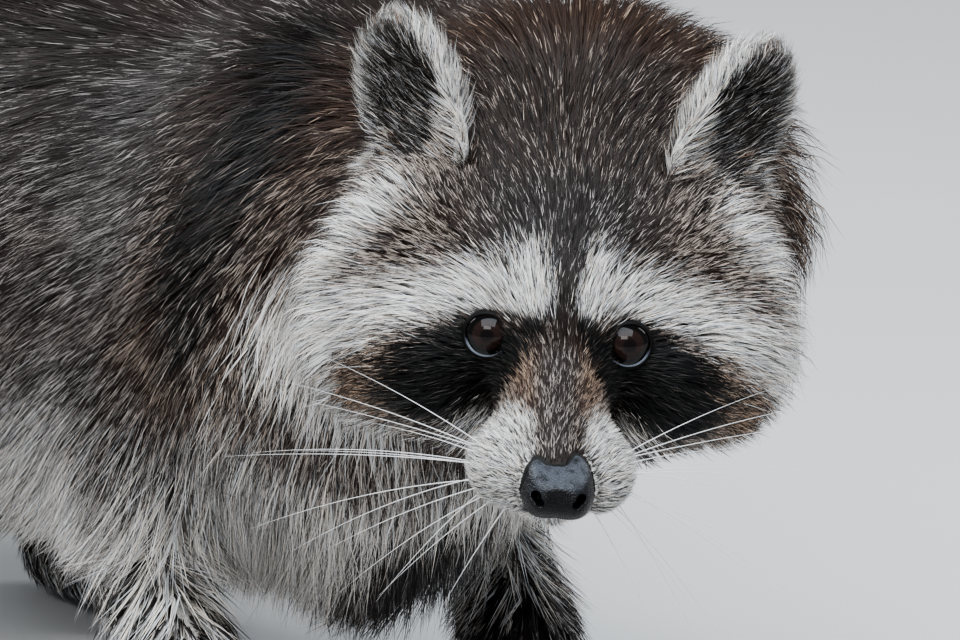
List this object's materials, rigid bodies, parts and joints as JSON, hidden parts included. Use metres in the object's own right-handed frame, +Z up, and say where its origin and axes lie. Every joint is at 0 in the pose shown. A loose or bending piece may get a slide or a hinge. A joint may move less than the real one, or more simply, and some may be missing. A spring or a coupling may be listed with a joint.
{
  "type": "raccoon",
  "caption": "Adult raccoon standing still at life size, with a black mask, white brows and muzzle, grizzled long coat, dark-ringed bushy tail, and its head turned to its right",
  "frame": {"origin": "on the floor, under the middle of the animal's bounding box", "axes": "+Z up; the trunk heads towards -Y and the tail trails towards +Y; +X is the raccoon's left"},
  "size_m": [0.228, 0.8618, 0.312],
  "materials": {
    "grizzled_fur": "long grizzled coat, matte",
    "dark_fur": "dark fur, matte",
    "pale_fur": "short pale fur, matte",
    "nose": "moist black pebbled skin",
    "eye": "wet dark brown eye",
    "claw": "dark horn, satin"
  },
  "bodies": {
    "root": {"ear_left": "pale_fur", "eye_left": "eye", "ear_right": "pale_fur", "eye_right": "eye", "nose_pad": "nose", "lower_jaw": "pale_fur", "head": "grizzled_fur", "upper_arm_fore_right": "grizzled_fur", "forearm_fore_right": "grizzled_fur", "claw_fore_right_1": "claw", "claw_fore_right_2": "claw", "claw_fore_right_3": "claw", "claw_fore_right_4": "claw", "claw_fore_right_5": "claw", "hand_fore_right": "pale_fur", "upper_arm_fore_left": "grizzled_fur", "forearm_fore_left": "grizzled_fur", "claw_fore_left_1": "claw", "claw_fore_left_2": "claw", "claw_fore_left_3": "claw", "claw_fore_left_4": "claw", "claw_fore_left_5": "claw", "hand_fore_left": "pale_fur", "thigh_hind_right": "grizzled_fur", "shank_hind_right": "grizzled_fur", "claw_hind_right_1": "claw", "claw_hind_right_2": "claw", "claw_hind_right_3": "claw", "claw_hind_right_4": "claw", "claw_hind_right_5": "claw", "foot_hind_right": "pale_fur", "thigh_hind_left": "grizzled_fur", "shank_hind_left": "grizzled_fur", "claw_hind_left_1": "claw", "claw_hind_left_2": "claw", "claw_hind_left_3": "claw", "claw_hind_left_4": "claw", "claw_hind_left_5": "claw", "foot_hind_left": "pale_fur", "neck": "grizzled_fur", "trunk": "grizzled_fur", "tail_base": "grizzled_fur", "tail_middle": "dark_fur", "tail_end": "grizzled_fur"}
  },
  "joints": []
}
